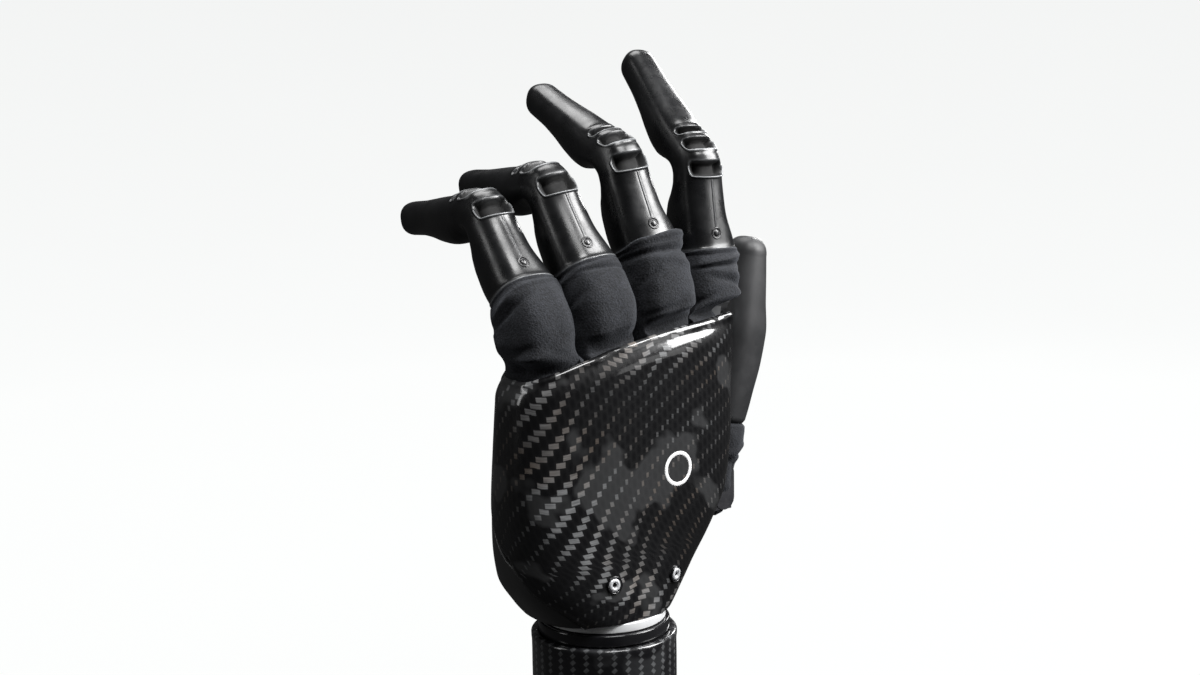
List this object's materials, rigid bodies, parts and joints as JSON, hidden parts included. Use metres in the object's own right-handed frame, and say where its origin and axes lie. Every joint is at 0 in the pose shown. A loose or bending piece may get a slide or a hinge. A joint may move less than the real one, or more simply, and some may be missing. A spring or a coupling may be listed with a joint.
{
  "type": "prosthetic hand",
  "caption": "Powered left prosthetic hand with bending fingers, a turning thumb and a rotating wrist, on a short carbon wrist tube.",
  "frame": {"origin": "centre of the wrist tube's flat lower end", "axes": "+Z from the wrist to the fingertips, -Y the back of the hand, +Y the palm, +X the thumb side"},
  "size_m": [0.1164, 0.1005, 0.2344],
  "materials": {
    "carbon": "clear-coated carbon twill",
    "black_gloss": "polished",
    "finger_skin": "glossy",
    "thumb_rubber": "matt",
    "boot_fabric": "coated knit",
    "palm_plastic": "satin",
    "aluminium": "turned",
    "steel": "plain",
    "board": "plain"
  },
  "bodies": {
    "wrist_socket": {"wrist_tube": "carbon", "lamination_ring": "black_gloss", "coaxial_bushing": "palm_plastic"},
    "hand": {"coupling_ring": "aluminium", "coaxial_plug": "steel", "palm_chassis": "aluminium", "dorsal_shell": "carbon", "palm_cover": "palm_plastic", "shell_screw_1": "steel", "shell_screw_2": "steel", "control_board": "board", "thumb_rotation_drive": "steel", "index_knuckle_boot": "boot_fabric", "index_knuckle_pin": "steel", "index_drive": "steel", "middle_knuckle_boot": "boot_fabric", "middle_knuckle_pin": "steel", "middle_drive": "steel", "ring_knuckle_boot": "boot_fabric", "ring_knuckle_pin": "steel", "ring_drive": "steel", "pinky_knuckle_boot": "boot_fabric", "pinky_knuckle_pin": "steel", "pinky_drive": "steel"},
    "index_proximal": {"index_proximal_bone": "aluminium", "index_proximal_skin": "finger_skin", "index_screw_cover": "black_gloss", "index_finger_pin": "steel"},
    "index_distal": {"index_distal_bone": "aluminium", "index_distal_skin": "finger_skin"},
    "index_link": {"index_coupler": "steel"},
    "middle_proximal": {"middle_proximal_bone": "aluminium", "middle_proximal_skin": "finger_skin", "middle_screw_cover": "black_gloss", "middle_finger_pin": "steel"},
    "middle_distal": {"middle_distal_bone": "aluminium", "middle_distal_skin": "finger_skin"},
    "middle_link": {"middle_coupler": "steel"},
    "ring_proximal": {"ring_proximal_bone": "aluminium", "ring_proximal_skin": "finger_skin", "ring_screw_cover": "black_gloss", "ring_finger_pin": "steel"},
    "ring_distal": {"ring_distal_bone": "aluminium", "ring_distal_skin": "finger_skin"},
    "ring_link": {"ring_coupler": "steel"},
    "pinky_proximal": {"pinky_proximal_bone": "aluminium", "pinky_proximal_skin": "finger_skin", "pinky_screw_cover": "black_gloss", "pinky_finger_pin": "steel"},
    "pinky_distal": {"pinky_distal_bone": "aluminium", "pinky_distal_skin": "finger_skin"},
    "pinky_link": {"pinky_coupler": "steel"},
    "thumb_mount": {"thumb_base": "aluminium", "thumb_pin": "steel"},
    "thumb": {"thumb_bone": "aluminium", "thumb_boot": "boot_fabric", "thumb_drive": "steel", "thumb_skin": "thumb_rubber"}
  },
  "joints": [
    {"name": "wrist_rotation", "type": "hinge", "parent": "wrist_socket", "child": "hand", "pos_m": [0, 0, 0.047], "axis": [0, 0, 1], "continuous": true},
    {"name": "index_knuckle", "type": "hinge", "parent": "hand", "child": "index_proximal", "pos_m": [0.0412, -0.002, 0.156], "axis": [-0.9998, 0, 0.0174], "range_deg": [-7, 69]},
    {"name": "index_middle", "type": "hinge", "parent": "index_proximal", "child": "index_distal", "pos_m": [0.04189, 0.00287, 0.1957], "axis": [-0.9998, 0, 0.0174], "range_deg": [-7.3, 63.1]},
    {"name": "index_link_swing", "type": "hinge", "parent": "hand", "child": "index_link", "pos_m": [0.04126, -0.0055, 0.1595], "axis": [-0.9998, 0, 0.0174], "range_deg": [-8.1, 70.7]},
    {"name": "middle_knuckle", "type": "hinge", "parent": "hand", "child": "middle_proximal", "pos_m": [0.0188, -0.004, 0.1596], "axis": [-0.9945, 0, -0.1045], "range_deg": [-18, 58]},
    {"name": "middle_middle", "type": "hinge", "parent": "middle_proximal", "child": "middle_distal", "pos_m": [0.01483, 0.00869, 0.19733], "axis": [-0.9945, 0, -0.1045], "range_deg": [-17.2, 53.2]},
    {"name": "middle_link_swing", "type": "hinge", "parent": "hand", "child": "middle_link", "pos_m": [0.01843, -0.0075, 0.16308], "axis": [-0.9945, 0, -0.1045], "range_deg": [-18.8, 58.4]},
    {"name": "ring_knuckle", "type": "hinge", "parent": "hand", "child": "ring_proximal", "pos_m": [-0.0032, -0.002, 0.1542], "axis": [-0.9925, 0, -0.1219], "range_deg": [-28, 46]},
    {"name": "ring_middle", "type": "hinge", "parent": "ring_proximal", "child": "ring_distal", "pos_m": [-0.00748, 0.01709, 0.18909], "axis": [-0.9925, 0, -0.1219], "range_deg": [-26.2, 42.4]},
    {"name": "ring_link_swing", "type": "hinge", "parent": "hand", "child": "ring_link", "pos_m": [-0.00363, -0.0055, 0.15767], "axis": [-0.9925, 0, -0.1219], "range_deg": [-27.9, 45.2]},
    {"name": "pinky_knuckle", "type": "hinge", "parent": "hand", "child": "pinky_proximal", "pos_m": [-0.024, 0.002, 0.149], "axis": [-0.9976, 0, -0.0698], "range_deg": [-36, 40]},
    {"name": "pinky_middle", "type": "hinge", "parent": "pinky_proximal", "child": "pinky_distal", "pos_m": [-0.02624, 0.02579, 0.18108], "axis": [-0.9976, 0, -0.0698], "range_deg": [-33.4, 37]},
    {"name": "pinky_link_swing", "type": "hinge", "parent": "hand", "child": "pinky_link", "pos_m": [-0.02424, -0.0015, 0.15249], "axis": [-0.9976, 0, -0.0698], "range_deg": [-36.6, 40.6]},
    {"name": "thumb_rotation", "type": "hinge", "parent": "hand", "child": "thumb_mount", "pos_m": [0.026, 0.0125, 0.087], "axis": [0, 0, -1], "range_deg": [-90, 0]},
    {"name": "thumb_flexion", "type": "hinge", "parent": "thumb_mount", "child": "thumb", "pos_m": [0.0575, 0.0125, 0.087], "axis": [0, -1, 0], "range_deg": [-40, 5]}
  ],
  "couplings": [
    {"joint": "index_middle", "follows": "index_knuckle", "ratio": 0.9},
    {"joint": "index_link_swing", "follows": "index_knuckle", "ratio": 1.01},
    {"joint": "middle_middle", "follows": "middle_knuckle", "ratio": 0.9},
    {"joint": "middle_link_swing", "follows": "middle_knuckle", "ratio": 0.99},
    {"joint": "ring_middle", "follows": "ring_knuckle", "ratio": 0.9},
    {"joint": "ring_link_swing", "follows": "ring_knuckle", "ratio": 0.96},
    {"joint": "pinky_middle", "follows": "pinky_knuckle", "ratio": 0.9},
    {"joint": "pinky_link_swing", "follows": "pinky_knuckle", "ratio": 0.99}
  ]
}
